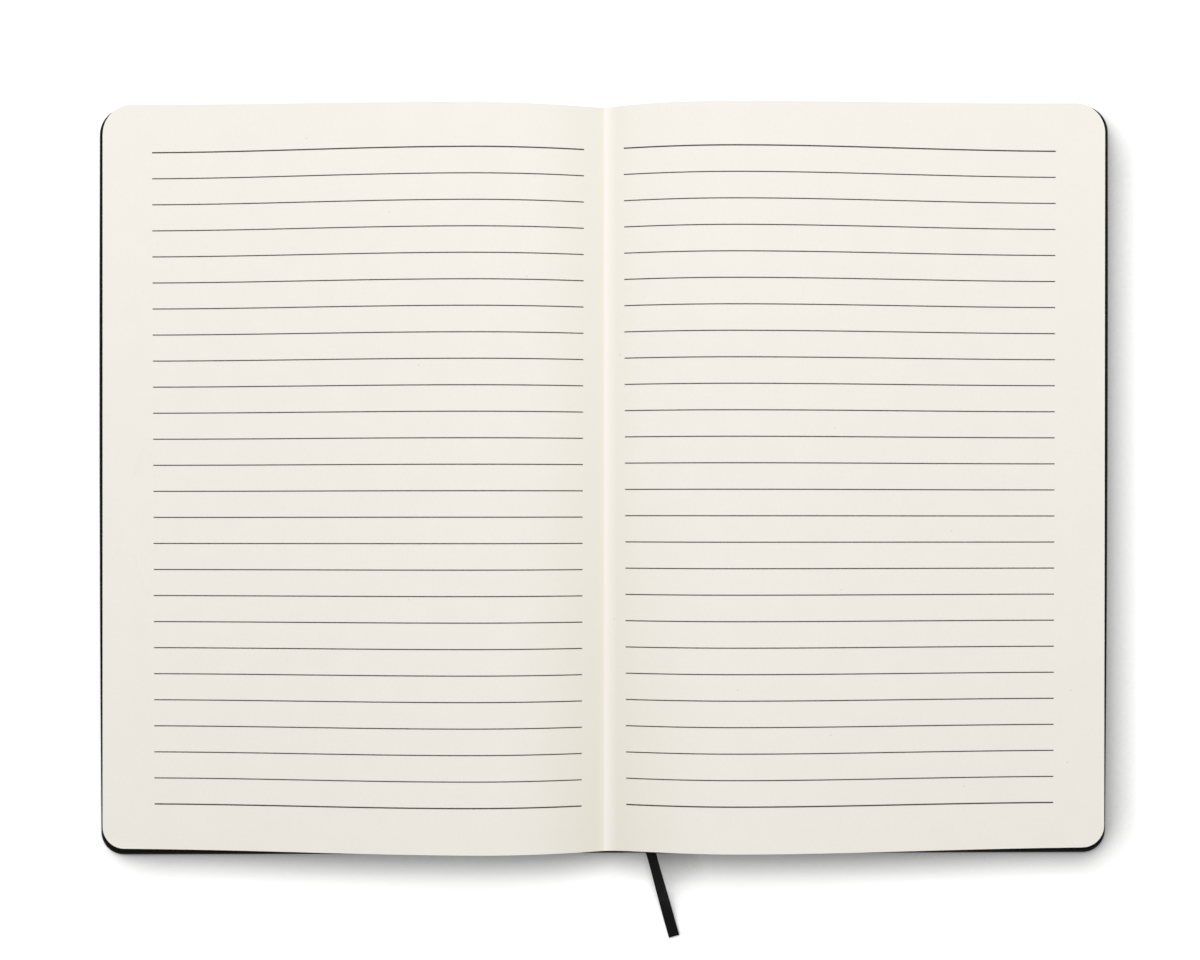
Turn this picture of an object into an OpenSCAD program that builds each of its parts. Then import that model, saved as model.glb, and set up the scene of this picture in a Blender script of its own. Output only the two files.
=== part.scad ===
// Case-bound ruled notebook lying open at its middle, pages upward.
// X runs across the spread, +Y towards the head of the pages, +Z up from the table.
// The origin is on the table, below the middle of the cover.

/* [Cover] */
// Height of the cover from foot to head
cover_h = 210; // [150:1:300]
// How far each cover reaches from the fold, measured at the head
cover_reach = 141.7; // [110:0.1:200]
// How much less the front cover reaches at the foot than at the head
front_taper = 0.45; // [0:0.05:2]
// How much less the back cover reaches at the foot than at the head
back_taper = 0.85; // [0:0.05:2]
// How far the covers lean: the back's fore-edge lies this much nearer the head, the front's nearer the foot
cover_lean = 0.35; // [0:0.05:0.6]
// Corner radius of the covers
cover_corner_r = 7.2; // [4:0.1:15]
// Thickness of the black covering
skin_t = 0.35; // [0.2:0.05:0.6]
// Thickness of the boards
board_t = 1.5; // [1:0.1:3]
// Width of the covering that is turned in over the boards
turn_in = 12; // [9:1:20]

/* [Spine] */
// Width of the card strip in the spine
inlay_w = 11; // [9:0.5:16]
// Thickness of the card strip in the spine
inlay_t = 0.8; // [0.4:0.1:1.2]
// How far the spine stops short of the covers at the head
spine_short = 0.4; // [0:0.1:1]
// Width of the bare joint between the card strip and each board
joint_w = 6.5; // [4:0.5:10]
// Thickness of the cloth lining on the back of the block
lining_t = 0.3; // [0.1:0.1:0.6]
// How far the lining stops short of the head and foot of the block
lining_inset = 8; // [2:1:25]

/* [Pages] */
// Thickness of one leaf
leaf_t = 0.1; // [0.06:0.01:0.15]
// Number of leaves in each half
leaves = 45; // [30:1:55]
// Thickness of the endpapers
endpaper_t = 0.15; // [0.1:0.01:0.3]
// Cover showing beyond the top leaf at the fore-edge
fore_overhang = 2.5; // [1.5:0.1:5]
// Cover showing beyond the pages at the head of the fold
head_overhang = 1.55; // [1.2:0.05:5]
// Cover showing beyond the pages at the foot of the fold
foot_overhang = 1.85; // [0.5:0.05:5]
// How far the left pages stand towards the head at their fore-edge
left_rise = 0.8; // [0:0.05:1]
// How far the right pages stand towards the head at their fore-edge
right_rise = 1.2; // [0:0.05:1.2]
// Corner radius of the pages at the head
head_corner_r = 8.2; // [3:0.1:15]
// Corner radius of the pages at the foot
foot_corner_r = 6; // [3:0.1:15]
// How far the lowest leaf reaches past the top leaf
fore_slant = 1; // [0:0.1:1.4]
// Height of the hump's crest above the top leaf's outer edge
hump_rise = 5.7; // [3:0.1:9]
// Distance of the crest from the fold
crest_x = 36; // [20:1:50]
// Depth of the fold below the crest
fold_depth = 6.3; // [3:0.1:7]
// How steeply the pages drop into the fold
fold_power = 2; // [1.5:0.1:4]
// How early the hump falls away towards the fore-edge
hump_power = 0.92; // [0.8:0.01:1.2]

/* [Ruling] */
// Distance from one ruled line to the next
line_pitch = 7.225; // [5:0.005:9]
// Width of a ruled line
line_w = 0.3; // [0.2:0.05:0.6]
// Width of the first and the last ruled line
end_line_w = 0.5; // [0.2:0.05:1]
// Thickness of the ink
ink_t = 0.05; // [0.02:0.01:0.1]
// First line's distance below the head of the page
head_margin = 13.3; // [8:0.1:20]
// Least room below the last ruled line
foot_margin = 12; // [8:0.1:20]
// Lines' distance from the fold
fold_margin = 5.5; // [3:0.1:12]
// Lines' distance from the fore-edge
fore_margin = 14.1; // [5:0.1:25]
// How much shorter the last line is at each end than the first
line_taper = 0.7; // [0:0.1:2]

/* [Ribbon marker] */
// Width of the ribbon
ribbon_w = 3; // [2:0.1:4]
// Thickness of the ribbon
ribbon_t = 0.3; // [0.2:0.05:0.4]
// Room on each side of the ribbon between the leaves
ribbon_side_play = 0.7; // [0.6:0.1:1.5]
// Room above and below the ribbon between the leaves
ribbon_play = 0.15; // [0.1:0.05:0.3]
// How far below the head of the pages the ribbon starts
ribbon_start = 5.4; // [3:0.1:20]

/* [Hidden] */

// Levels above the table
board_top = skin_t + board_t;
turn_top = board_top + skin_t;
paste_top = turn_top + endpaper_t;
fly_top = paste_top + endpaper_t;
stack_t = leaves * leaf_t;
edge_z = fly_top + stack_t;
crest_z = edge_z + hump_rise;
inlay_top = skin_t + inlay_t;

// Places across the spread
board_x = inlay_w / 2 + joint_w;
pivot_x = inlay_w / 2 + joint_w / 2;
page_reach = cover_reach - fore_overhang;
low_reach = page_reach + fore_slant;
block_half = stack_t;
paste_gap = 0.2;

// Places from foot to head
head_y = cover_h / 2 - head_overhang;
foot_y = foot_overhang - cover_h / 2;
line_count = 1 + floor((head_y - foot_y - head_margin - foot_margin) / line_pitch);

// Points in each stretch of the page's section, and in a rounded corner
fold_steps = 10;
fore_steps = 12;
corner_steps = 9;
// Crowding of the section's points towards the fold
fold_crowding = 1.4;
// A little more than any cut needs
cut_over = 1;

// Route of the ribbon's middle, each point's Y from the foot of the pages.
// Inside, the heights are above the lowest leaf; outside, they are shares of the drop to the table.
ribbon_steps = 13;
ribbon_head = [1.4, head_y - ribbon_start - foot_y, 1.4];
ribbon_turn = [9.2, 19, 2.05];
ribbon_bend = [[9.7, 15, 2.1], [10.4, 11, 2.2], [11.2, 7, 2.25], [12.2, 3, 2.35], [13.2, -1, 2.4]];
ribbon_drop = [[14, -4, 0.96], [14.8, -7, 0.84], [15.6, -10, 0.66], [16.4, -13, 0.45],
               [17.2, -16, 0.24], [18, -19, 0.1], [18.8, -22, 0.02], [19.8, -25.5, 0]];
ribbon_rest = 0.2;
drop_height = fly_top + ribbon_bend[len(ribbon_bend) - 1][2] - ribbon_rest;
ribbon_inside = concat(
    [for (i = [0 : ribbon_steps]) ribbon_head + (ribbon_turn - ribbon_head) * i / ribbon_steps],
    ribbon_bend);
ribbon_route = concat(
    [for (p = ribbon_inside) [p[0], foot_y + p[1], fly_top + p[2]]],
    [for (p = ribbon_drop) [p[0], foot_y + p[1], ribbon_rest + drop_height * p[2]]]);
// Route points where the slot for the ribbon turns and leaves the pages
slot_turn = ribbon_steps;
slot_exit = slot_turn + len(ribbon_bend);

// Height of the open page above the table at a distance from the fold
function page_z(u) =
    u < crest_x
        ? crest_z - fold_depth * pow(1 - u / crest_x, fold_power)
        : edge_z + hump_rise * (1 + cos(180 * fore_share(u))) / 2;
function fore_share(u) = pow(min(1, (u - crest_x) / (page_reach - crest_x)), hump_power);

fold_stations = [for (i = [0 : fold_steps - 1]) crest_x * pow(i / fold_steps, fold_crowding)];
fore_stations = [for (i = [0 : fore_steps]) crest_x + (page_reach - crest_x) * i / fore_steps];
stations = concat(fold_stations, fore_stations);
page_line = [for (u = stations) [u, page_z(u)]];

// Points of a rounded corner about its centre, or the one point of a square corner
function arc(x, y, r, from, to) =
    r <= 0 ? [[x, y]] :
    [for (i = [0 : corner_steps])
        let (a = from + (to - from) * i / corner_steps)
        [x + r * cos(a), y + r * sin(a)]];

// One half of the page's outline from above, out from a given distance to the fold
function page_half(inner_x, rise) =
    concat([[inner_x, foot_y + rise * inner_x / low_reach]],
           arc(low_reach - foot_corner_r, foot_y + rise + foot_corner_r, foot_corner_r, -90, 0),
           arc(low_reach - head_corner_r, head_y + rise - head_corner_r, head_corner_r, 0, 90),
           [[inner_x, head_y + rise * inner_x / low_reach]]);

// How far a cover's edge is moved towards the head, at a distance from the fold
function lean(side, x) = side * cover_lean * (x - board_x) / (cover_reach - board_x);

// A cover's outline from above, drawn in from its edge, and past the board at the joint
function cover_outline(side, inset, past = 0) =
    let (r = max(0, cover_corner_r - inset), far = cover_reach - inset,
         foot_x = far - r - (side < 0 ? front_taper : back_taper), head_x = far - r,
         y = cover_h / 2 - inset)
    concat(past > 0 ? [[board_x - past, -y]] : [],
           [[board_x, -y]],
           arc(foot_x, lean(side, foot_x) + r - y, r, -90, 0),
           arc(head_x, lean(side, head_x) + y - r, r, 0, 90),
           [[board_x, y]],
           past > 0 ? [[board_x - past, y]] : []);

// A polygon in the X-Z plane, drawn along Y about a given place
module along_y(points, y, length) {
    translate([0, y, 0])
        rotate([90, 0, 0])
            linear_extrude(height = length, center = true)
                polygon(points);
}

// A polygon in the X-Y plane between two levels
module layer(points, low, high) {
    translate([0, 0, low])
        linear_extrude(height = high - low)
            polygon(points);
}

// The front cover lies under the left pages, side -1, the back cover under the right pages, side 1
module on_side(side) {
    if (side < 0)
        mirror([1, 0, 0]) children();
    else
        children();
}

// Section of one half of the block, from the lining out to the fore-edge
function half_section(side) =
    concat([for (p = page_line) [side * p[0], p[1]]],
           [[side * low_reach, fly_top], [side * block_half, fly_top],
            [side * block_half, fly_top + lining_t], [0, fly_top + lining_t]]);

module half_block(side, rise) {
    intersection() {
        along_y(half_section(side), 0, cover_h);
        on_side(side)
            layer(page_half(0, rise), 0, crest_z + cut_over);
    }
}

// A straight stretch of the slot that the ribbon lies in
module slot_run(from, to, over) {
    v = from - to;
    length = norm(v) + 2 * over;
    translate((from + to) / 2)
        rotate([asin(v[2] / norm(v)), 0, atan2(-v[0], v[1])])
            cube([ribbon_w + 2 * ribbon_side_play, length, ribbon_t + 2 * ribbon_play], center = true);
}

module ribbon_slot() {
    slot_run(ribbon_route[0], ribbon_route[slot_turn], cut_over);
    slot_run(ribbon_route[slot_turn], ribbon_route[slot_exit], cut_over);
}

module text_block() {
    color("#f5f1e9")
        difference() {
            union() {
                half_block(-1, left_rise);
                half_block(1, right_rise);
            }
            ribbon_slot();
        }
}

// One ruled line as a strip of ink that follows the page
module ruled_line(side, rise, k) {
    share = k / max(1, line_count - 1);
    u0 = fold_margin + line_taper * share;
    u1 = page_reach - fore_margin - line_taper * share;
    between = [for (u = stations) if (u > u0 && u < u1) u];
    run = concat([u0], between, [u1]);
    low = [for (u = run) [side * u, lookup(u, page_line)]];
    high = [for (i = [len(run) - 1 : -1 : 0]) [side * run[i], lookup(run[i], page_line) + ink_t]];
    w = k == 0 || k == line_count - 1 ? end_line_w : line_w;
    along_y(concat(low, high), head_y + rise - head_margin - k * line_pitch, w);
}

module ruling(side, rise) {
    for (k = [0 : line_count - 1])
        ruled_line(side, rise, k);
}

module left_page_ruling() {
    color("#6e6a64")
        ruling(-1, left_rise);
}

module right_page_ruling() {
    color("#6e6a64")
        ruling(1, right_rise);
}

module flyleaf(rise) {
    layer(page_half(block_half, rise), paste_top, fly_top);
}

module front_flyleaf() {
    color("#f1ece0")
        on_side(-1)
            flyleaf(left_rise);
}

module back_flyleaf() {
    color("#f1ece0")
        flyleaf(right_rise);
}

// The paper on a cover's inside lies on the turned-in covering and dips to the board between
module pastedown(side, rise) {
    opening_y = cover_h / 2 - turn_in;
    difference() {
        layer(page_half(board_x, rise), turn_top, paste_top);
        layer(cover_outline(side, turn_in, cut_over), turn_top - cut_over, paste_top + cut_over);
    }
    difference() {
        layer(cover_outline(side, turn_in), board_top, paste_top);
        layer(cover_outline(side, turn_in + endpaper_t, cut_over),
              board_top + endpaper_t, paste_top + cut_over);
    }
    translate([pivot_x + paste_gap, -opening_y, board_top])
        cube([board_x - pivot_x - paste_gap, 2 * opening_y, endpaper_t]);
}

module front_pastedown() {
    color("#ece6d8")
        on_side(-1)
            pastedown(-1, left_rise);
}

module back_pastedown() {
    color("#ece6d8")
        pastedown(1, right_rise);
}

module board(side) {
    layer(cover_outline(side, skin_t), skin_t, board_top);
}

module front_board() {
    color("#8d8676")
        on_side(-1)
            board(-1);
}

module back_board() {
    color("#8d8676")
        board(1);
}

// Both ends of a doubled and stepped stretch of covering across the joint
module turned_ends(points, short = 0) {
    along_y(points, (turn_in - cover_h) / 2, turn_in);
    along_y(points, (cover_h - turn_in) / 2 - short, turn_in);
}

module cover_skin(side) {
    difference() {
        layer(cover_outline(side, 0), 0, turn_top);
        layer(cover_outline(side, skin_t, cut_over), skin_t, board_top);
        layer(cover_outline(side, turn_in, cut_over), board_top - skin_t, turn_top + cut_over);
    }
    translate([pivot_x, -cover_h / 2, 0])
        cube([board_x - pivot_x, cover_h, skin_t]);
    turned_ends([[pivot_x, 0], [board_x, 0], [board_x, turn_top], [board_x - skin_t, turn_top],
                 [board_x - skin_t, 2 * skin_t], [pivot_x, 2 * skin_t]]);
}

module front_cover_skin() {
    color("#1b1b1c")
        on_side(-1)
            cover_skin(-1);
}

module back_cover_skin() {
    color("#1b1b1c")
        cover_skin(1);
}

module inlay_strip() {
    translate([-inlay_w / 2, skin_t - cover_h / 2, skin_t])
        cube([inlay_w, cover_h - spine_short - 2 * skin_t, inlay_t]);
}

module spine_inlay() {
    color("#9a9382")
        inlay_strip();
}

module spine_skin() {
    step_x = inlay_w / 2 + skin_t;
    step_z = inlay_top + skin_t;
    color("#1b1b1c")
        difference() {
            union() {
                translate([-pivot_x, -cover_h / 2, 0])
                    cube([2 * pivot_x, cover_h - spine_short, skin_t]);
                turned_ends([[-pivot_x, 0], [pivot_x, 0], [pivot_x, 2 * skin_t],
                             [step_x, 2 * skin_t], [step_x, step_z], [-step_x, step_z],
                             [-step_x, 2 * skin_t], [-pivot_x, 2 * skin_t]], spine_short);
            }
            inlay_strip();
        }
}

module spine_lining() {
    color("#ddd8cc")
        translate([-block_half, foot_y + lining_inset, fly_top])
            cube([2 * block_half, head_y - foot_y - 2 * lining_inset, lining_t]);
}

// The ribbon's section, flat with eased edges
ease = ribbon_t / 4;
ribbon_section = [
    [ribbon_w / 2, -ease], [ribbon_w / 2, ease], [ribbon_w / 2 - ease, ribbon_t / 2],
    [ease - ribbon_w / 2, ribbon_t / 2], [-ribbon_w / 2, ease], [-ribbon_w / 2, -ease],
    [ease - ribbon_w / 2, -ribbon_t / 2], [ribbon_w / 2 - ease, -ribbon_t / 2]];

function unit(v) = v / norm(v);
function heading(i) =
    unit(ribbon_route[min(i + 1, len(ribbon_route) - 1)] - ribbon_route[max(i - 1, 0)]);
function ribbon_ring(i) =
    let (ahead = heading(i), side = unit(cross(ahead, [0, 0, 1])), up = cross(side, ahead))
    [for (p = ribbon_section) ribbon_route[i] + side * p[0] + up * p[1]];

module ribbon_marker() {
    rings = len(ribbon_route);
    sides = len(ribbon_section);
    points = [for (i = [0 : rings - 1]) each ribbon_ring(i)];
    walls = [for (i = [0 : rings - 2], j = [0 : sides - 1])
        let (next = (j + 1) % sides)
        [i * sides + j, (i + 1) * sides + j, (i + 1) * sides + next, i * sides + next]];
    first_end = [for (j = [0 : sides - 1]) j];
    last_end = [for (j = [sides - 1 : -1 : 0]) (rings - 1) * sides + j];
    color("#141414")
        polyhedron(points, concat(walls, [first_end, last_end]));
}

text_block();
left_page_ruling();
right_page_ruling();
front_flyleaf();
back_flyleaf();
front_pastedown();
back_pastedown();
front_board();
back_board();
front_cover_skin();
spine_skin();
back_cover_skin();
spine_inlay();
spine_lining();
ribbon_marker();
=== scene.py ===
import math
import random

import bmesh
import bpy
import numpy as np
from bpy.props import FloatProperty, FloatVectorProperty, IntProperty, PointerProperty
from bpy.types import Operator, Panel, PropertyGroup
from mathutils import Matrix, Vector


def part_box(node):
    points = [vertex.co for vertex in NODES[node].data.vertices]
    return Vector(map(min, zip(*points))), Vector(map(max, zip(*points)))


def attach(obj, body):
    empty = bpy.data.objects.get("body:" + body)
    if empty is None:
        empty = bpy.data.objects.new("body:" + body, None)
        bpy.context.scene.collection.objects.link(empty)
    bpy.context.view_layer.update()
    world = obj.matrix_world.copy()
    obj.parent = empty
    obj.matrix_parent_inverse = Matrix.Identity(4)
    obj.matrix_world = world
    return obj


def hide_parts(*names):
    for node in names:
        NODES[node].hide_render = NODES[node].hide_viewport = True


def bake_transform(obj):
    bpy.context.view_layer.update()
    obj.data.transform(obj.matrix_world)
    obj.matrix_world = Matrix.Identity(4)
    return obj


bl_info = {
    "name": "Open ruled notebook",
    "version": (1, 0, 0),
    "blender": (4, 5, 0),
    "location": "View3D > Sidebar > Notebook",
    "description": "Leaves, ruling, covering, endpapers and ribbon of a notebook lying open",
    "category": "Object",
}

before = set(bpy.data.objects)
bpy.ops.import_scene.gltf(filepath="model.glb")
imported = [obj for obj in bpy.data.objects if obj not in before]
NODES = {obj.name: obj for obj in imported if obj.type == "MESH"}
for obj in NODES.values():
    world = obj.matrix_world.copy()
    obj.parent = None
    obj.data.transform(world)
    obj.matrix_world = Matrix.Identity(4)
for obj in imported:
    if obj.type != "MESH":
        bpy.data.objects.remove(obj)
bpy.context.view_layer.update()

MM = 0.001
LEFT, RIGHT = -1, 1
SIDE_NAMES = {LEFT: "left", RIGHT: "right"}
COVER_NAMES = {LEFT: "front", RIGHT: "back"}
REST_PLACE = "rest_place"
SEED = 11
HUMP_END = 46 * MM

BLOCK_LOW, BLOCK_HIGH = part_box("text_block")
SKIN_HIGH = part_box("back_cover_skin")[1]
SPINE_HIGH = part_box("spine_skin")[1]
BOARD_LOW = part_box("back_board")[0]
INLAY_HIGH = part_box("spine_inlay")[1]
LINING_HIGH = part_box("spine_lining")[1]
PASTE_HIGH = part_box("back_pastedown")[1]
RULING_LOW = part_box("right_page_ruling")[0]


def length(name, description, default, **more):
    """A size in metres, shown in the scene's units."""
    return FloatProperty(name=name, description=description, default=default,
                         unit="LENGTH", precision=5, **more)


def number(name, description, default, **more):
    """A share, a strength or another plain number."""
    return FloatProperty(name=name, description=description, default=default, **more)


def colour(name, description, default):
    """A linear colour."""
    return FloatVectorProperty(name=name, description=description, default=default,
                               subtype="COLOR", size=3, min=0, max=1)


class NotebookPages(PropertyGroup):
    """Sizes of the leaves and of the form that they lie in."""
    leaf_count: IntProperty(name="Leaves", description="Leaves in each half", default=45, min=8, max=60)
    leaf_thickness: length("Leaf thickness", "Thickness of one leaf", 0.085 * MM)
    page_reach: length("Page reach", "From the fold to the top leaf's fore-edge", 139.2 * MM)
    low_reach: length("Lowest reach", "From the fold to the lowest leaf's fore-edge", BLOCK_HIGH.x)
    block_half: length("Half back", "Half the width of the block's back", LINING_HIGH.x)
    underside: length("Underside", "Height of the lowest leaf", BLOCK_LOW.z)
    back_height: length("Back height", "Height where the leaves leave the back", LINING_HIGH.z)
    edge_height: length("Edge height", "Height of the top leaf's fore-edge", 7.0 * MM)
    crest_height: length("Crest height", "Height of the hump's crest", BLOCK_HIGH.z)
    crest_reach: length("Crest reach", "From the fold to the crest", 36 * MM)
    fold_depth: length("Fold depth", "Depth of the fold below the crest", 6.3 * MM)
    fold_power: number("Fold power", "How steeply the pages drop to the fold", 2.0)
    hump_power: number("Hump power", "How early the hump falls to the fore-edge", 0.92)
    left_fold_round: length("Left fold round", "How soon the left page bends down to the fold", 0.6 * MM)
    right_fold_round: length("Right fold round", "How soon the right page bends up from it", 1.2 * MM)
    foot: length("Foot", "Place of the pages' foot at the fold", BLOCK_LOW.y)
    head: length("Head", "Place of the pages' head at the fold", BLOCK_HIGH.y - 1.2 * MM)
    left_rise: length("Left rise", "How far the left pages stand towards the head", 0.8 * MM)
    right_rise: length("Right rise", "How far the right pages stand towards the head", 1.2 * MM)
    right_slip: length("Right slip", "How far the right pages' hump lies towards the head", 0.4 * MM)
    right_taper: length("Right taper", "How much less the right pages reach at the foot", 0.3 * MM)
    head_corner: length("Head corner", "Corner radius at the head", 8.2 * MM)
    foot_corner: length("Foot corner", "Corner radius at the foot", 6 * MM)
    wave: length("Wave", "Height of the open pages' slight waves", 0.05 * MM)


class NotebookRuling(PropertyGroup):
    """Sizes of the ruled lines."""
    line_count: IntProperty(name="Lines", description="Ruled lines on a page", default=26, min=2)
    line_pitch: length("Pitch", "From one line to the next", 7.235 * MM)
    line_width: length("Line width", "Width of a ruled line", 0.29 * MM)
    end_line_width: length("End line width", "Width of the first and last line", 0.36 * MM)
    ink_thickness: length("Ink thickness", "Height of the ink above the page", 0.02 * MM)
    head_margin: length("Head margin", "First line's distance from the head", 13.3 * MM)
    fold_margin: length("Fold margin", "Lines' distance from the fold", RULING_LOW.x)
    fore_margin: length("Fore-edge margin", "Lines' distance from the fore-edge", 13.8 * MM)
    line_taper: length("Taper", "How much shorter the last line is at each end", 0.7 * MM)
    crest_bow: length("Bow at the crest", "How far the first line bows to the head", 0.5 * MM)
    fold_bow: length("Bow at the fold", "The same beside the fold", 0.6 * MM)
    fore_bow: length("Bow at the fore-edge", "The same beside the fore-edge", -0.13 * MM)
    crest_turn: number("Turn at the crest", "Share of the bow lost at the last line", 1.25)
    fold_turn: number("Turn at the fold", "The same beside the fold", 1.6)


class NotebookCover(PropertyGroup):
    """Sizes of the covering and what it wraps."""
    height: length("Height", "From the cover's foot to its head", 210 * MM)
    reach: length("Reach", "From the fold to the cover's fore-edge", SKIN_HIGH.x)
    front_taper: length("Front taper", "How much less the front cover reaches at the foot", 0.45 * MM)
    back_taper: length("Back taper", "How much less the back cover reaches at the foot", 0.85 * MM)
    lean: length("Lean", "How far the covers' fore-edges are moved along the book", 0.35 * MM)
    spine_short: length("Spine short", "How far the spine stops short at the head", 0.4 * MM)
    head_corner: length("Head corner", "Corner radius at the head", 7.6 * MM)
    foot_corner: length("Foot corner", "Corner radius at the foot", 6.4 * MM)
    bow: length("Bow", "How far a cover's fore-edge bows out in its middle", 0.35 * MM)
    skin: length("Covering", "Thickness of the covering", BOARD_LOW.z)
    rim: length("Rim", "Rounding of the covering at the board's edges", 0.8 * MM)
    rim_segments: IntProperty(name="Rim segments", description="Steps of a quarter round", default=4, min=1)
    turn_in: length("Turn-in", "Width of the turned-in covering", 12 * MM)
    endpaper: length("Endpaper", "Thickness of the endpapers", PASTE_HIGH.z - SKIN_HIGH.z)
    groove: length("Joint groove", "Depth of the groove outside at each joint", 0.3 * MM)


class NotebookRibbon(PropertyGroup):
    """Sizes of the ribbon marker."""
    width: length("Width", "Width of the ribbon", 3 * MM)
    thickness: length("Thickness", "Thickness of the ribbon", 0.28 * MM)
    total: length("Length", "Length from the head of the fold to the cut end", 228.7 * MM)
    roll: number("Roll", "How far the ribbon rolls as it drops", math.radians(30), subtype="ANGLE")


class NotebookFinish(PropertyGroup):
    """Colours of the materials."""
    page: colour("Page", "Cream writing paper", (0.909, 0.883, 0.824))
    endpaper: colour("Endpaper", "Cream endpaper", (0.86, 0.82, 0.735))
    ink: colour("Ink", "Grey ink of the ruled lines", (0.045, 0.04, 0.036))
    covering: colour("Covering", "Black imitation leather", (0.0038, 0.0034, 0.0031))
    board: colour("Board", "Grey board", (0.36, 0.33, 0.28))
    lining: colour("Lining", "Cotton cloth", (0.78, 0.74, 0.65))
    ribbon: colour("Ribbon", "Black satin", (0.0036, 0.0037, 0.0037))
    floor: colour("Floor", "White floor", (0.893, 0.9, 0.908))


class NotebookStage(PropertyGroup):
    """The camera's place, the strength of the light and the painted shadow on the floor."""
    camera_x: length("Camera X", "Camera's place across the spread", -1.084 * MM)
    camera_height: length("Camera height", "Camera's height above the table", 437.6 * MM)
    lens: number("Lens", "Focal length in millimetres", 46.52)
    key: number("Key", "Power of the large lamp at the head", 11.1, unit="POWER")
    key_place: FloatVectorProperty(name="Key place", description="Where the large lamp hangs",
                                   default=(-0.01, 0.64, 1.02), size=3, unit="LENGTH")
    fill: number("Fill", "Power of the low lamp at the foot", 2.1, unit="POWER")
    fill_place: FloatVectorProperty(name="Fill place", description="Where the low lamp stands",
                                    default=(0.1, -1.1, 0.3), size=3, unit="LENGTH")
    sky: number("Sky", "Strength of the light from all round", 0.36)
    floor_reach: length("Floor reach", "From the floor's middle to its sides", 6.0)
    floor_glow: number("Floor glow", "What the camera adds to the floor", 0.28)
    glow_start: length("Glow start", "Where the floor's glow begins to rise to full white", 0.3)
    glow_end: length("Glow end", "Where the floor is full white without light", 1.0)
    # The soft shade below is a painted shadow on the floor, from an ambient occlusion test that leans
    # towards the light, not from a lamp.
    painted_shadow_lean: FloatVectorProperty(name="Soft lean", description="Where the floor's soft light comes from",
                                   default=(-0.76, 0.5, 0.2), size=3)
    painted_shadow_reach: length("Soft reach", "How far from the book the floor's soft shade goes", 13.5 * MM)
    painted_shadow_dark: number("Soft dark", "Share of open sky at which the shade is deepest", 0.5)
    painted_shadow_fade: number("Soft light", "Share of open sky at which it ends", 0.89)
    painted_shadow_low: number("Soft low", "What the deepest shade leaves of the floor's white", 0.31)


def settings():
    """The scene, which holds the notebook's sizes and colours."""
    return bpy.context.scene


# Forms of the book

def page_height(p, u):
    """Height of the open page at a distance from the fold."""
    if u < p.crest_reach:
        return p.crest_height - p.fold_depth * (1 - u / p.crest_reach) ** p.fold_power
    share = min(1.0, (u - p.crest_reach) / (p.page_reach - p.crest_reach)) ** p.hump_power
    return p.edge_height + (p.crest_height - p.edge_height) * (1 + math.cos(math.pi * share)) / 2


def smooth(t):
    """Eases a share from 0 to 1."""
    t = min(1.0, max(0.0, t))
    return t * t * (3 - 2 * t)


def page_surface(p, side, u):
    """The page's height with its bend at the fold, which it leaves level."""
    bend = p.left_fold_round if side == LEFT else p.right_fold_round
    steep = p.fold_depth * p.fold_power / p.crest_reach
    sunk = steep * bend * (1 - math.exp(-u / bend))
    return page_height(p, u) - sunk * (1 - smooth(u / p.crest_reach))


def page_wave(p, x, y):
    """Slight waves of the open pages, none at the fold."""
    wandering = math.sin(x / (17 * MM) + 1.3 * math.sin(y / (60 * MM)))
    lengthwise = 0.8 * math.sin(y / (21 * MM) + x / (75 * MM) + 0.7)
    short = 0.5 * math.sin(x / (9 * MM) - y / (34 * MM))
    full_height_at = 30 * MM
    return p.wave * (wandering + lengthwise + short) * smooth(abs(x) / full_height_at) / 2


def page_rise(p, side):
    return p.left_rise if side == LEFT else p.right_rise


def page_shift(p, side, u):
    """How far the pages stand towards the head, at a distance from the fold."""
    most_at = 14 * MM
    near = u / most_at
    slip = p.right_slip * near * math.exp(1 - near) if side == RIGHT else 0
    return page_rise(p, side) * u / p.low_reach + slip


def page_place(p, side, u, y):
    """Where a point of a straight leaf lies on the book, seen from above."""
    down = (p.head - y) / (p.head - p.foot)
    narrow = p.right_taper * down * u / p.page_reach if side == RIGHT else 0
    return side * (u - narrow), y + page_shift(p, side, u)


def fold_shares():
    """Shares from 0 to 1 of the way from the fold to the fore-edge, closer together near the fold."""
    samples, crowding = 240, 1.6
    return np.linspace(0, 1, samples) ** crowding


class PageCurve:
    """A page's section as X and height at a share of its length from the fold."""

    def __init__(self, x, z):
        steps = np.hypot(np.diff(x), np.diff(z))
        run = np.concatenate([[0.0], np.cumsum(steps)])
        self.length = float(run[-1])
        self.share, self.x, self.z = run / run[-1], np.array(x), np.array(z)

    def at(self, share):
        return np.array([np.interp(share, self.share, self.x), np.interp(share, self.share, self.z)])


def open_page_curve(p, side):
    """The top leaf's section."""
    u = p.page_reach * fold_shares()
    return PageCurve(u, [page_surface(p, side, v) for v in u])


class LeafFan:
    """Where the leaves of one half lie, between the lowest leaf and the open page."""
    rooted = 0.1 * MM
    root_bend = 1.5 * MM

    def __init__(self, p, side):
        top = open_page_curve(p, side)
        half = p.leaf_thickness / 2
        self.top = PageCurve(np.concatenate([[self.rooted], top.x + self.rooted * (top.x < p.crest_reach)]),
                             np.concatenate([[p.back_height], top.z]))
        x = p.block_half + (p.low_reach - p.block_half) * fold_shares()
        sag = np.exp(-(x - p.block_half) / self.root_bend)
        self.low = PageCurve(x, p.underside + half + (p.back_height - p.underside - half) * sag)

    def at(self, up, share):
        return self.low.at(share) * (1 - up) + self.top.at(share) * up

    def frame_at(self, up, share):
        """The point and its unit normal, which points away from the table."""
        step = 0.002
        ahead = self.at(up, min(1.0, share + step)) - self.at(up, max(0.0, share - step))
        along = ahead / np.hypot(*ahead)
        return self.at(up, share), np.array([-along[1], along[0]])


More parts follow.
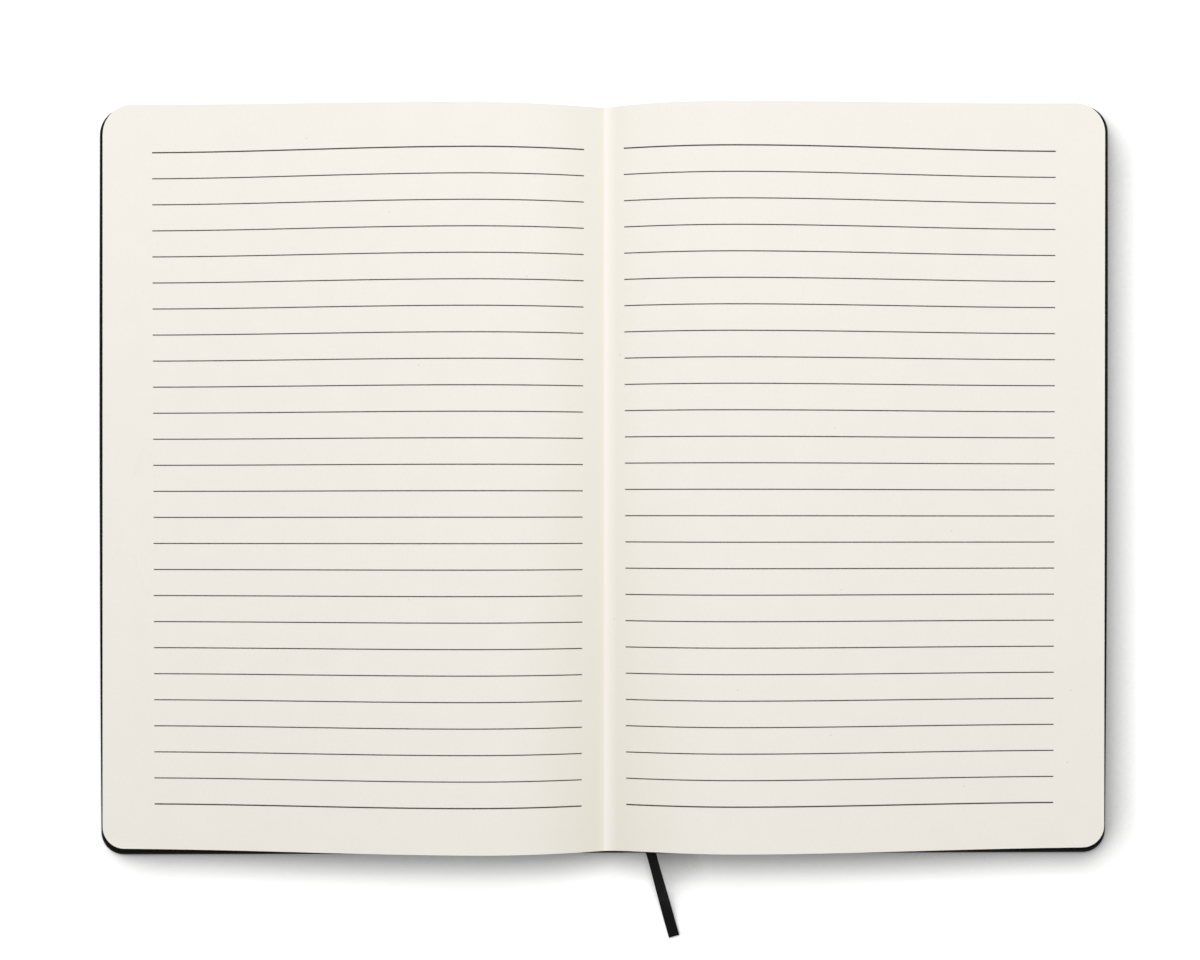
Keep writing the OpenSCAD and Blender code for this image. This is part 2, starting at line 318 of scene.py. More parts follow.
def stack_levels(p, rng, ribbon_leaf):
    """Share of the height at which each leaf lies in the hump: most lie close, some stand apart.

    The widest gap is over the leaf that the ribbon lies on, where there is one.
    """
    close, uneven, apart, share_apart, widest = 0.45, 0.2, 2.6, 0.3, 4.0
    gaps = [close + uneven * rng.random() + (apart * rng.random() if rng.random() < share_apart else 0.0)
            for _ in range(p.leaf_count - 1)]
    if ribbon_leaf is not None:
        gaps[ribbon_leaf] = widest
    levels = np.concatenate([[0.0], np.cumsum(gaps)])
    return levels / levels[-1]


def page_cuts(last, near_count, far_count, crowding, start=0.0):
    """Places to cut a page at, closer together at the fold and the hump than in its flat part."""
    near = [start + HUMP_END * (i / near_count) ** crowding for i in range(1, near_count + 1)]
    far = [HUMP_END + (last - HUMP_END) * i / far_count for i in range(1, far_count + 1)]
    return near + far


# Mesh work

def rectangle(bm, x0, x1, y0, y1):
    """A flat face between the given places, facing up."""
    made = bmesh.ops.create_grid(bm, x_segments=1, y_segments=1, size=0.5)
    bmesh.ops.scale(bm, vec=(x1 - x0, y1 - y0, 1), verts=made["verts"])
    bmesh.ops.translate(bm, vec=((x0 + x1) / 2, (y0 + y1) / 2, 0), verts=made["verts"])


def round_corner(bm, x, y, radius, segments):
    """Rounds the corner nearest to a place."""
    corner = min(bm.verts, key=lambda v: (v.co - Vector((x, y, 0))).length)
    bmesh.ops.bevel(bm, geom=[corner], offset=radius, offset_type="OFFSET", affect="VERTICES",
                    segments=segments, profile=0.5, material=-1, clamp_overlap=False)


def round_leaf(bm, p, x, segments):
    """Rounds the two corners of a leaf whose fore-edge is at the given place."""
    round_corner(bm, x, p.head, p.head_corner, segments)
    round_corner(bm, x, p.foot, p.foot_corner, segments)


def cut_along(bm, places, axis):
    """Cuts every face by planes across an axis."""
    normal = Vector((1, 0, 0)) if axis == "X" else Vector((0, 1, 0))
    for place in places:
        bmesh.ops.bisect_plane(bm, geom=bm.verts[:] + bm.edges[:] + bm.faces[:], dist=1e-7,
                               plane_co=normal * place, plane_no=normal)


def face_outwards(bm):
    bmesh.ops.recalc_face_normals(bm, faces=bm.faces[:])


def thicken(bm, thickness):
    """Gives the sheet a thickness, with its middle where the sheet was."""
    bmesh.ops.solidify(bm, geom=bm.faces[:], thickness=thickness)
    middle = sum((v.co.z for v in bm.verts), 0.0) / len(bm.verts)
    bmesh.ops.translate(bm, vec=(0, 0, -middle), verts=bm.verts[:])
    face_outwards(bm)


def keep_rest_place(bm):
    """Notes where each point lies at rest, so that a pattern stays on a piece that bends."""
    place = bm.verts.layers.float_vector.new(REST_PLACE)
    for v in bm.verts:
        v[place] = v.co


def as_mesh(bm, name):
    mesh = bpy.data.meshes.new(name)
    bm.to_mesh(mesh)
    bm.free()
    return mesh


def add_piece(bm, name, material, sharp=35):
    """Makes the piece's object, smooth apart from edges sharper than the given angle."""
    mesh = as_mesh(bm, name)
    mesh.shade_smooth()
    mesh.set_sharp_from_angle(angle=math.radians(sharp))
    mesh.materials.append(material)
    piece = bpy.data.objects.new(name, mesh)
    settings().collection.objects.link(piece)
    return piece


def across_joint(piece):
    """Bakes the place into the mesh of a piece that lies across the joint between the book and the cover on
    one side.
    """
    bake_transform(piece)


# Materials

class Finish:
    """A material and the nodes that give it its look."""

    def __init__(self, name, base, roughness, specular=0.5):
        self.material = bpy.data.materials.new(name)
        self.material.use_nodes = True
        self.nodes = self.material.node_tree.nodes
        self.links = self.material.node_tree.links
        self.shader = self.nodes["Principled BSDF"]
        self.shader.inputs["Base Color"].default_value = (*base, 1)
        self.shader.inputs["Roughness"].default_value = roughness
        self.shader.inputs["Specular IOR Level"].default_value = specular
        self.base = base
        self.place = self.add("ShaderNodeTexCoord").outputs["Object"]

    def add(self, kind, links=(), **values):
        """A node with its properties, its inputs by name and what is linked into it."""
        node = self.nodes.new(kind)
        for key, value in values.items():
            if hasattr(node, key):
                setattr(node, key, value)
            else:
                node.inputs[key.replace("_", " ")].default_value = value
        for key, source in dict(links).items():
            self.links.new(source, node.inputs[key])
        return node

    def read(self, attribute):
        """Takes the pattern's place from the piece's own attribute."""
        self.place = self.add("ShaderNodeAttribute", attribute_name=attribute).outputs["Vector"]

    def stretched(self, scale):
        return self.add("ShaderNodeMapping", {"Vector": self.place}, Scale=scale).outputs["Vector"]

    def noise(self, size, detail=3.0, place=None):
        """Noise whose features are about the given size in metres."""
        return self.add("ShaderNodeTexNoise", {"Vector": place or self.place},
                        Scale=1 / size, Detail=detail).outputs["Fac"]

    def specks(self, apart, size, share):
        """Tiny round specks, one in a share of the fields that lie the given distance apart."""
        fields = self.add("ShaderNodeTexVoronoi", {"Vector": self.place}, voronoi_dimensions="2D",
                          Scale=1 / apart)
        full, gone = 0.3 * size / apart, 0.6 * size / apart
        spot = self.spread(fields.outputs["Distance"], 1.0, 0.0, (full, gone))
        pick = self.add("ShaderNodeSeparateColor", {"Color": fields.outputs["Color"]}).outputs["Red"]
        return self.maths("MULTIPLY", spot, self.maths("LESS_THAN", pick, share))

    def spread(self, source, low, high, steps=(0.3, 0.7)):
        """Maps the middle of a pattern to a range of values."""
        return self.add("ShaderNodeMapRange", {"Value": source}, From_Min=steps[0], From_Max=steps[1],
                        To_Min=low, To_Max=high).outputs["Result"]

    def band(self, source, start, peak, end, form="LINEAR"):
        """Rises from 0 to 1 between the start and the peak, and falls again to the end."""
        up, down = (self.add("ShaderNodeMapRange", {"Value": source}, interpolation_type=form,
                             From_Min=side, From_Max=peak).outputs["Result"] for side in (start, end))
        return self.maths("MULTIPLY", up, down)

    def maths(self, operation, a, b=0.0):
        node = self.add("ShaderNodeMath", operation=operation)
        for socket, value in zip(node.inputs, (a, b)):
            if isinstance(value, float):
                socket.default_value = value
            else:
                self.links.new(value, socket)
        return node.outputs["Value"]

    def turns(self, place, pitch):
        """An angle that goes round once in each pitch along a place."""
        return self.maths("MULTIPLY", place, 2 * math.pi / pitch)

    def tint(self, factor, other):
        """Mixes the base colour with another one by a pattern."""
        node = self.add("ShaderNodeMix", data_type="RGBA")
        self.links.new(factor, node.inputs["Factor"])
        before = self.shader.inputs["Base Color"]
        if before.is_linked:
            self.links.new(before.links[0].from_socket, node.inputs["A"])
        else:
            node.inputs["A"].default_value = (*self.base, 1)
        node.inputs["B"].default_value = (*other, 1)
        self.links.new(node.outputs["Result"], before)

    def rough(self, source):
        self.links.new(source, self.shader.inputs["Roughness"])

    def bump(self, height, depth):
        """Adds a pattern of the given depth in metres to the surface."""
        node = self.add("ShaderNodeBump", {"Height": height}, Distance=depth)
        normal = self.shader.inputs["Normal"]
        if normal.is_linked:
            self.links.new(normal.links[0].from_socket, node.inputs["Normal"])
        self.links.new(node.outputs["Normal"], normal)


def times(rgb, factor):
    """A colour times one factor, or times one for each of red, green and blue."""
    factors = factor if isinstance(factor, tuple) else (factor,) * 3
    return tuple(min(1.0, c * f) for c, f in zip(rgb, factors))


def paper(name, base, attribute=None, open_page=False):
    """Uncoated paper: cloudy formation, fine fibres and a soft tooth."""
    made = Finish(name, base, 0.88, 0.25)
    if attribute:
        made.read(attribute)
    clouds = made.noise(9 * MM, 4.0)
    made.tint(made.spread(clouds, 0.0, 1.0), times(base, 0.985))
    fibres = made.noise(0.35 * MM, 2.0, made.stretched((1.0, 0.28, 1.0)))
    made.tint(made.spread(fibres, 0.0, 0.5, (0.5, 0.75)), times(base, 0.95))
    if open_page:
        # The open pages get painted shade beside the fold and a painted highlight along the crease.
        paint_fold_shade_and_highlight(made)
        made.tint(made.specks(30 * MM, 0.45 * MM, 0.35), times(base, 0.8))
    made.rough(made.spread(clouds, 0.84, 0.92))
    made.bump(fibres, 0.012 * MM)
    made.bump(made.noise(0.12 * MM, 2.0), 0.006 * MM)
    return made.material


def paint_fold_shade_and_highlight(made):
    """Painted shade and a painted highlight on the open pages at the fold, each from where it
    starts to its peak and its end.

    Beside the fold the pages are painted greyer as shade, more widely so towards the foot, with
    a painted warm shade at the crease and a painted highlight band beside it.
    """
    # Spans of the painted shade and the painted highlight across the fold.
    gutter_shade, foot_gutter_shade = (-20 * MM, 0.0, 12 * MM), (-30 * MM, 0.0, 30 * MM)
    warm_crease_shade, crease_highlight = (-1.5 * MM, -0.6 * MM, 0.3 * MM), (-0.3 * MM, 0.35 * MM, 3.6 * MM)
    foot_end, foot_gutter_shade_end = -105 * MM, 15 * MM
    axes = made.add("ShaderNodeSeparateXYZ", {"Vector": made.place}).outputs
    across = axes["X"]
    # Painted shade: the pages greyer beside the fold.
    made.tint(made.band(across, *gutter_shade, "SMOOTHSTEP"), times(made.base, (0.9425, 0.9475, 0.925)))
    # Painted shade beside the fold that grows towards the foot.
    to_foot = made.spread(axes["Y"], 0.6, 0.0, (foot_end, foot_gutter_shade_end))
    low = made.maths("MULTIPLY", to_foot, made.band(across, *foot_gutter_shade, "SMOOTHSTEP"))
    made.tint(low, times(made.base, (0.9, 0.895, 0.84)))
    # Painted warm shade at the crease.
    made.tint(made.band(across, *warm_crease_shade), times(made.base, (0.955, 0.9475, 0.8875)))
    # Painted highlight band beside the crease.
    made.tint(made.band(across, *crease_highlight), times(made.base, (1.075, 1.056, 1.06)))


def ink(name, base):
    """Printed ink, a little uneven in density."""
    made = Finish(name, base, 0.7, 0.3)
    made.tint(made.spread(made.noise(0.5 * MM), 0.0, 0.6), times(base, 1.9))
    made.tint(made.spread(made.noise(30 * MM, 2.0), 0.0, 0.35), times(base, 1.5))
    made.bump(made.noise(0.12 * MM), 0.004 * MM)
    return made.material


def imitation_leather(name, base, attribute):
    """Fine-grained coated covering: pebbles parted by creases, rubbed a little lighter in places."""
    made = Finish(name, base, 0.45, 0.14)
    made.read(attribute)
    cells = made.add("ShaderNodeTexVoronoi", {"Vector": made.place}, feature="DISTANCE_TO_EDGE",
                     Scale=1 / (0.75 * MM)).outputs["Distance"]
    pebbles = made.spread(cells, 0.0, 1.0, (0.0, 0.28))
    soft = made.noise(0.4 * MM, 4.0)
    rubbed = made.noise(22 * MM, 4.0)
    made.tint(made.spread(rubbed, 0.0, 0.5), times(base, 1.9))
    made.tint(made.spread(pebbles, 0.5, 0.0, (0.0, 1.0)), times(base, 0.55))
    made.rough(made.maths("ADD", made.spread(rubbed, 0.36, 0.46), made.spread(soft, -0.03, 0.06)))
    made.bump(pebbles, 0.06 * MM)
    made.bump(soft, 0.035 * MM)
    return made.material


def grey_board(name, base):
    """Pressed board with darker and lighter flecks of fibre."""
    made = Finish(name, base, 0.93, 0.2)
    layers = made.noise(1.1 * MM, 4.0, made.stretched((0.35, 0.35, 3.0)))
    made.tint(made.spread(layers, 0.0, 0.7), times(base, 0.7))
    made.tint(made.spread(made.noise(0.3 * MM, 2.0), 0.0, 0.8, (0.62, 0.75)), times(base, 1.5))
    made.bump(layers, 0.05 * MM)
    return made.material


def cotton_cloth(name, base):
    """Open cotton cloth, as glued on the backs of books: crossing threads in colour and in height."""
    made = Finish(name, base, 0.9, 0.2)
    thread = 0.9 * MM
    axes = made.add("ShaderNodeSeparateXYZ", {"Vector": made.place}).outputs
    along = made.maths("SINE", made.turns(axes["X"], thread))
    across = made.maths("SINE", made.turns(axes["Y"], thread))
    weave = made.maths("MULTIPLY", along, across)
    made.bump(made.maths("ADD", weave, made.maths("ABSOLUTE", along)), 0.08 * MM)
    made.tint(made.spread(weave, 0.0, 0.6, (-1.0, 1.0)), times(base, 0.72))
    return made.material


def satin(name, base):
    """Woven satin ribbon: a fine warp along its length, slanting floats and a slight ripple."""
    made = Finish(name, base, 0.45, 0.11)
    uv = made.add("ShaderNodeUVMap", uv_map="UVMap").outputs["UV"]
    axes = made.add("ShaderNodeSeparateXYZ", {"Vector": uv}).outputs
    along, across = axes["X"], axes["Y"]
    warp = made.maths("SINE", made.turns(across, 0.14 * MM))
    slant = made.maths("ADD", made.turns(along, 0.42 * MM), made.turns(across, 0.3 * MM))
    floats = made.maths("SINE", slant)
    weave = made.maths("ADD", warp, floats)
    made.tint(made.spread(weave, 0.0, 0.8, (-2.0, 2.0)), times(base, 2.0))
    made.rough(made.spread(floats, 0.36, 0.52, (-1.0, 1.0)))
    made.bump(weave, 0.012 * MM)
    made.bump(made.noise(2.5 * MM, 2.0), 0.06 * MM)
    made.shader.inputs["Sheen Weight"].default_value = 0.02
    made.shader.inputs["Sheen Roughness"].default_value = 0.4
    return made.material


def white_floor(name, base, stage):
    """A white floor that keeps the book's shadow, with what the camera sees raised to white.

    Its colour and its glow both fall off softly beside the book, on the side away from the light:
    a painted shadow, from an ambient occlusion test that leans towards the light.
    """
    made = Finish(name, (0, 0, 0), 1.0, 0.0)
    lean_x, lean_y, lean_z = stage.painted_shadow_lean
    towards = made.add("ShaderNodeCombineXYZ", X=lean_x, Y=lean_y, Z=lean_z).outputs["Vector"]
    # Painted shadow: an ambient occlusion test, leaning towards the light, darkens the floor's colour near
    # the book.
    near = made.add("ShaderNodeAmbientOcclusion", {"Normal": towards}, samples=16,
                    Distance=stage.painted_shadow_reach).outputs["AO"]
    shade = made.spread(near, stage.painted_shadow_low, 1.0, (stage.painted_shadow_dark, stage.painted_shadow_fade))
    made.tint(shade, base)
    seen = made.add("ShaderNodeLightPath").outputs
    rays = made.maths("MAXIMUM", seen["Is Camera Ray"], seen["Is Glossy Ray"])
    rays = made.maths("MAXIMUM", rays, seen["Is Transmission Ray"])
    made.shader.inputs["Emission Color"].default_value = (1, 1, 1, 1)
    away = made.add("ShaderNodeVectorMath", {"Vector": made.place}, operation="LENGTH").outputs["Value"]
    white = made.spread(away, stage.floor_glow, 1.0, (stage.glow_start, stage.glow_end))
    # The glow is darkened by the same painted shadow.
    lift = made.maths("MULTIPLY", made.maths("MULTIPLY", rays, white), shade)
    made.links.new(lift, made.shader.inputs["Emission Strength"])
    return made.material


def finish_node(node, material):
    """Gives a CAD node its material."""
    mesh = NODES[node].data
    mesh.materials.clear()
    mesh.materials.append(material)


# Pieces

class NOTEBOOK_OT_camera(Operator):
    """Place the camera straight above the open book"""
    bl_idname = "notebook.camera"
    bl_label = "Camera"

    def execute(self, context):
        s = settings().notebook_stage
        data = bpy.data.cameras.new("camera")
        data.sensor_fit, data.sensor_width = "HORIZONTAL", 36
        data.lens = s.lens
        data.clip_start, data.clip_end = 0.01, 20
        camera = bpy.data.objects.new("camera", data)
        camera.location = (s.camera_x, 0, s.camera_height)
        settings().collection.objects.link(camera)
        settings().camera = camera
        return {"FINISHED"}


def ribbon_route(p):
    """The ribbon's middle, from the head of the fold to its cut end on the table.

    Places are in millimetres from the fold and the block's foot. Between the leaves, heights
    count from the block's underside. Past its foot they are shares of the drop to the table.
    """
    head = Vector((1.4, (p.head - p.foot) / MM - 5.4, 1.4))
    turn = Vector((9.2, 19, 2.05))
    straight_points, table_height = 14, 0.2
    inside = [head.lerp(turn, i / (straight_points - 1)) for i in range(straight_points)]
    inside += [Vector(v) for v in ((9.7, 15, 2.1), (10.4, 11, 2.2), (11.2, 7, 2.25),
                                   (12.2, 3, 2.35), (13.2, -1, 2.4))]
    drop = ((14, -4, 0.96), (14.8, -7, 0.84), (15.6, -10, 0.66), (16.4, -13, 0.45),
            (17.2, -16, 0.24), (18, -19, 0.1), (18.8, -22, 0.02), (19.8, -25.5, 0))
    fall = p.underside / MM + inside[-1].z - table_height
    route = [Vector((v.x, v.y, v.z + p.underside / MM)) for v in inside]
    route += [Vector((x, y, table_height + fall * share)) for x, y, share in drop]
    return [v * MM + Vector((0, p.foot, 0)) for v in route]


def smooth_run(points, count):
    """Points and headings at even steps along a smooth curve through the given ones, and its length."""
    parts, dense = 12, []
    for i in range(len(points) - 1):
        a, b = points[max(i - 1, 0)], points[i]
        c, d = points[i + 1], points[min(i + 2, len(points) - 1)]
        for k in range(parts):
            t = k / parts
            dense.append(0.5 * (2 * b + (c - a) * t + (2 * a - 5 * b + 4 * c - d) * t ** 2
                                + (3 * b - a - 3 * c + d) * t ** 3))
    dense.append(points[-1])
    dense = np.array(dense)
    run = np.concatenate([[0.0], np.cumsum(np.linalg.norm(np.diff(dense, axis=0), axis=1))])
    even = np.linspace(0, run[-1], count)
    places = np.stack([np.interp(even, run, dense[:, k]) for k in range(3)], axis=1)
    ahead = np.gradient(places, axis=0)
    ahead /= np.linalg.norm(ahead, axis=1)[:, None]
    return [Vector(v) for v in places], [Vector(v) for v in ahead], float(run[-1])


class NOTEBOOK_OT_ribbon(Operator):
    """Lay the ribbon marker between the leaves and over the foot of the cover"""
    bl_idname = "notebook.ribbon"
    bl_label = "Ribbon marker"

    def execute(self, context):
        p, r = settings().notebook_pages, settings().notebook_ribbon
        route = ribbon_route(p)
        steps, threads = 220, 8
        roll_half, unroll = 3 * MM, 21 * MM
        places, ahead, total = smooth_run(route, steps + 1)
        bm = bmesh.new()
        bmesh.ops.create_grid(bm, x_segments=steps, y_segments=threads, size=0.5, calc_uvs=True)
        uv = bm.loops.layers.uv.verify()
        for face in bm.faces:
            for loop in face.loops:
                loop[uv].uv = ((loop.vert.co.x + 0.5) * total, loop.vert.co.y * r.width)
        for v in bm.verts:
            i = min(steps, max(0, round((v.co.x + 0.5) * steps)))
            side = ahead[i].cross(Vector((0, 0, 1))).normalized()
            out = p.foot - places[i].y
            rolled = smooth((out + roll_half) / (2 * roll_half)) * (1 - smooth((out - roll_half) / unroll))
            side.rotate(Matrix.Rotation(r.roll * rolled, 3, ahead[i]))
            above = side.cross(ahead[i]) * (r.thickness / 2)
            v.co = places[i] - side * (v.co.y * r.width) + above
        face_outwards(bm)
        bmesh.ops.solidify(bm, geom=bm.faces[:], thickness=r.thickness)
        face_outwards(bm)
        finish = settings().notebook_finish
        piece = add_piece(bm, "ribbon_marker_satin", satin("ribbon_satin", finish.ribbon), 50)
        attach(piece, "book")
        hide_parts("ribbon_marker")
        return {"FINISHED"}


def leaf_blank(p, width, columns):
    """One flat leaf with its thickness, rounded at the fore-edge and cut where it bends."""
    bm = bmesh.new()
    rectangle(bm, 0, width, p.foot, p.head)
    round_leaf(bm, p, width, segments=7)
    cut_along(bm, columns, "X")
    thicken(bm, p.leaf_thickness)
    return as_mesh(bm, "leaf_blank")


class NOTEBOOK_OT_leaves(Operator):
    """Stack the leaves of both halves, fanned in the hump and close at the fore-edge"""
    bl_idname = "notebook.leaves"
    bl_label = "Leaves"

    def execute(self, context):
        p, finish = settings().notebook_pages, settings().notebook_finish
        material = paper("page_paper", finish.page)
        ribbon_height, uneven_x, uneven_y = 0.24, 0.06, 0.05
        loose_from, close_from, closing = 0.1, 0.35, 0.55
        for side in (LEFT, RIGHT):
            rng = random.Random(SEED + side)
            fan = LeafFan(p, side)
            ribbon_leaf = int(ribbon_height * p.leaf_count) if side == RIGHT else None
            levels = stack_levels(p, rng, ribbon_leaf)
            width = fan.top.length
            cuts = page_cuts(width - 8 * MM, near_count=15, far_count=10, crowding=1.5, start=fan.top.x[0])
            blank = leaf_blank(p, width, cuts)
            bm = bmesh.new()
            for k in range(p.leaf_count - 1):
                first = len(bm.verts)
                bm.from_mesh(blank)
                bm.verts.ensure_lookup_table()
                even = k / (p.leaf_count - 1)
                slip_x = rng.uniform(-uneven_x, uneven_x) * MM
                slip_y = rng.uniform(-uneven_y, uneven_y) * MM
                for v in bm.verts[first:]:
                    share = min(1.0, max(0.0, v.co.x / width))
                    loose = smooth(share / loose_from) * (1 - smooth((share - close_from) / closing))
                    up = even + (levels[k] - even) * loose
                    (x, z), (out_x, out_z) = fan.frame_at(up, share)
                    slip = slip_x * smooth(share)
                    v.co = (*page_place(p, side, x + out_x * v.co.z + slip, v.co.y + slip_y),
                            z + out_z * v.co.z)
            face_outwards(bm)
            piece = add_piece(bm, SIDE_NAMES[side] + "_leaves", material)
            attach(piece, "book")
            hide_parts("text_block")
            bpy.data.meshes.remove(blank)
        return {"FINISHED"}


class NOTEBOOK_OT_open_pages(Operator):
    """Lay the middle sheet, whose two leaves are the open pages, on the two halves"""
    bl_idname = "notebook.open_pages"
    bl_label = "Open pages"

    def execute(self, context):
        p, finish = settings().notebook_pages, settings().notebook_finish
        curves = {side: open_page_curve(p, side) for side in (LEFT, RIGHT)}
        bm = bmesh.new()
        rectangle(bm, -curves[LEFT].length, curves[RIGHT].length, p.foot, p.head)
        for side in (LEFT, RIGHT):
            reach = curves[side].length
            cuts = page_cuts(reach - 1 * MM, near_count=26, far_count=24, crowding=1.7)
            round_leaf(bm, p, side * reach, segments=10)
            cut_along(bm, [side * x for x in cuts], "X")
        rows = 30
        cut_along(bm, [0.0], "X")
        cut_along(bm, [p.foot + (p.head - p.foot) * i / rows for i in range(1, rows)], "Y")
        thicken(bm, p.leaf_thickness)
        half = p.leaf_thickness / 2
        for v in bm.verts:
            side = LEFT if v.co.x < 0 else RIGHT
            curve = curves[side]
            share = min(1.0, abs(v.co.x) / curve.length)
            x, z = curve.at(share)
            v.co = (*page_place(p, side, x, v.co.y), z + v.co.z - half + page_wave(p, side * x, v.co.y))
        face_outwards(bm)
        material = paper("open_page_paper", finish.page, open_page=True)
        piece = add_piece(bm, "open_pages", material)
        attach(piece, "book")
        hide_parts("text_block")
        return {"FINISHED"}


def line_bow(p, r, u, down):
    """How far a ruled line lies towards the head of a straight one, at a share of the way to the foot."""
    crest, fore = ((1 - r.crest_turn * down) * bow for bow in (r.crest_bow, r.fore_bow))
    if u < p.crest_reach:
        share = (p.crest_reach - u) / (p.crest_reach - r.fold_margin)
        return crest + ((1 - r.fold_turn * down) * r.fold_bow - crest) * share ** 2
    share = (u - p.crest_reach) / (p.page_reach - r.fore_margin - p.crest_reach)
    return fore + (crest - fore) * (1 + math.cos(math.pi * min(1.0, share))) / 2


class NOTEBOOK_OT_ruling(Operator):
    """Print the ruled lines on both open pages as thin strips of ink"""
    bl_idname = "notebook.ruling"
    bl_label = "Ruled lines"

    def execute(self, context):
        p, r = settings().notebook_pages, settings().notebook_ruling
        material = ink("ruling_ink", settings().notebook_finish.ink)
        bm = bmesh.new()
        bmesh.ops.create_grid(bm, x_segments=64, y_segments=1, size=0.5)
        thicken(bm, 1.0)
        blank = as_mesh(bm, "line_blank")
        for side in (LEFT, RIGHT):
            rise = page_rise(p, side)
            bm = bmesh.new()
            for k in range(r.line_count):
                down = k / (r.line_count - 1)
                start = r.fold_margin + r.line_taper * down
                end = p.page_reach - r.fore_margin - r.line_taper * down
                wide = r.end_line_width if k in (0, r.line_count - 1) else r.line_width
                middle = p.head + rise - r.head_margin - k * r.line_pitch
                first = len(bm.verts)
                bm.from_mesh(blank)
                bm.verts.ensure_lookup_table()
                for v in bm.verts[first:]:
                    u = start + (end - start) * (v.co.x + 0.5)
                    y = middle + line_bow(p, r, u, down) + wide * v.co.y
                    lift = r.ink_thickness * (v.co.z + 1)
                    v.co = (side * u, y, page_surface(p, side, u) + page_wave(p, side * u, y) + lift)
            face_outwards(bm)
            piece = add_piece(bm, SIDE_NAMES[side] + "_ruled_lines", material)
            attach(piece, "book")
            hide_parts(SIDE_NAMES[side] + "_page_ruling")
        bpy.data.meshes.remove(blank)
        return {"FINISHED"}


def wrap_height(c, x):
    """Height of the turned-in covering over the card strip, the joint and the board."""
    slope = 1.2 * MM
    to_joint = smooth((x - INLAY_HIGH.x) / slope)
    to_board = smooth((x - BOARD_LOW.x + slope) / slope)
    return SPINE_HIGH.z + (2 * c.skin - SPINE_HIGH.z) * to_joint + (SKIN_HIGH.z - 2 * c.skin) * to_board


def joint_lift(c, x):
    """How far the covering lies higher at the joint, which leaves a groove outside."""
    half, steepness = (BOARD_LOW.x - INLAY_HIGH.x) / 2, 1.6
    return c.groove * smooth(steepness * (1 - abs(x - INLAY_HIGH.x - half) / half))


def joint_cuts(start, count):
    """Places to cut a sheet at over the joint, from the given one to a little past the board's edge."""
    reach = BOARD_LOW.x + 2 * MM - start
    return [start + reach * i / count for i in range(1, count + 1)]


def cover_place(c, side, v):
    """Moves a point of a square-edged cover to where the leaning, tapered cover has it."""
    over_board = max(0.0, (v.x - BOARD_LOW.x) / (c.reach - BOARD_LOW.x))
    up = 0.5 + v.y / c.height
    taper = c.front_taper if side == LEFT else c.back_taper
    short = c.spine_short * (1 - smooth((v.x - INLAY_HIGH.x) / (BOARD_LOW.x - INLAY_HIGH.x)))
    out = c.bow * 4 * up * (1 - up) - taper * (1 - up)
    return Vector((v.x + out * over_board, v.y + side * c.lean * over_board - short * up, v.z))


def rim_steps(c, height):
    """How far in from the edge, and how high, the covering goes round the rim."""
    radius = min(c.rim, height / 2)
    turns = [math.radians(90) * i / c.rim_segments for i in range(c.rim_segments + 1)]
    outward = [(radius * (1 - math.sin(a)), radius * (1 - math.cos(a))) for a in turns]
    inward = [(inset, height - z) for inset, z in reversed(outward)]
    return outward + inward


def wrap_covering(c, start, reach):
    """The covering out from a place near the fold, turned in round its edges, as one sheet."""
    bm = bmesh.new()
    outward = bm.verts.layers.float_vector.new("outward")
    edge = bm.verts.layers.float_vector.new("edge")
    half, cover, close = c.height / 2, reach == c.reach, c.skin / 10
    far = reach - c.rim if cover else reach
    rectangle(bm, start, far, c.rim - half, half - c.rim)
    if cover:
        for y, radius in ((half, c.head_corner), (-half, c.foot_corner)):
            round_corner(bm, far, y, radius - c.rim, segments=12)
    cut_along(bm, [x for x in joint_cuts(INLAY_HIGH.x, 20) if start < x < far], "X")
    cut_along(bm, [y * MM for y in range(-90, 91, 15)], "Y")
    open_ends = (start,) if cover else (start, far)
    rim = [e for e in bm.edges if e.is_boundary
           and not any(all(abs(v.co.x - x) < close for v in e.verts) for x in open_ends)]
    for v in {v for e in rim for v in e.verts}:
        beside = [e for e in v.link_edges if e in rim]
        normals = [outward_normal(e) for e in beside]
        total = sum(normals, Vector()).normalized()
        v[outward] = total / max(0.5, total.dot(normals[0]))
        v[edge] = v.co + v[outward] * c.rim
    for step in range(2 * (c.rim_segments + 1)):
        if step:
            made = bmesh.ops.extrude_edge_only(bm, edges=rim)["geom"]
            rim = [e for e in made if isinstance(e, bmesh.types.BMEdge) and e.is_boundary
                   and all(v in made for v in e.verts)]
        for v in {v for e in rim for v in e.verts}:
            inset, z = rim_steps(c, wrap_height(c, abs(v[edge].x)))[step]
            v.co = v[edge] - v[outward] * inset
            v.co.z = z
    made = bmesh.ops.extrude_edge_only(bm, edges=rim)["geom"]
    limit_x, limit_y = c.reach - c.turn_in, half - c.turn_in
    turned = [v for v in made if isinstance(v, bmesh.types.BMVert)]
    for v in turned:
        v.co.x = min(v.co.x, limit_x)
        v.co.y = max(-limit_y, min(limit_y, v.co.y))
    bmesh.ops.remove_doubles(bm, verts=turned, dist=close)
    face_outwards(bm)
    if min(bm.faces, key=lambda f: f.calc_center_median().z).normal.z > 0:
        bmesh.ops.reverse_faces(bm, faces=bm.faces[:])
    bmesh.ops.solidify(bm, geom=bm.faces[:], thickness=0.94 * c.skin)
    for v in bm.verts:
        v.co.z += joint_lift(c, abs(v.co.x))
    return bm


def outward_normal(edge):
    """The flat normal of a sheet's edge, away from the sheet."""
    a, b = edge.verts
    normal = (b.co - a.co).cross(Vector((0, 0, 1))).normalized()
    away = (a.co + b.co) / 2 - edge.link_faces[0].calc_center_median()
    return normal if normal.dot(away) > 0 else -normal


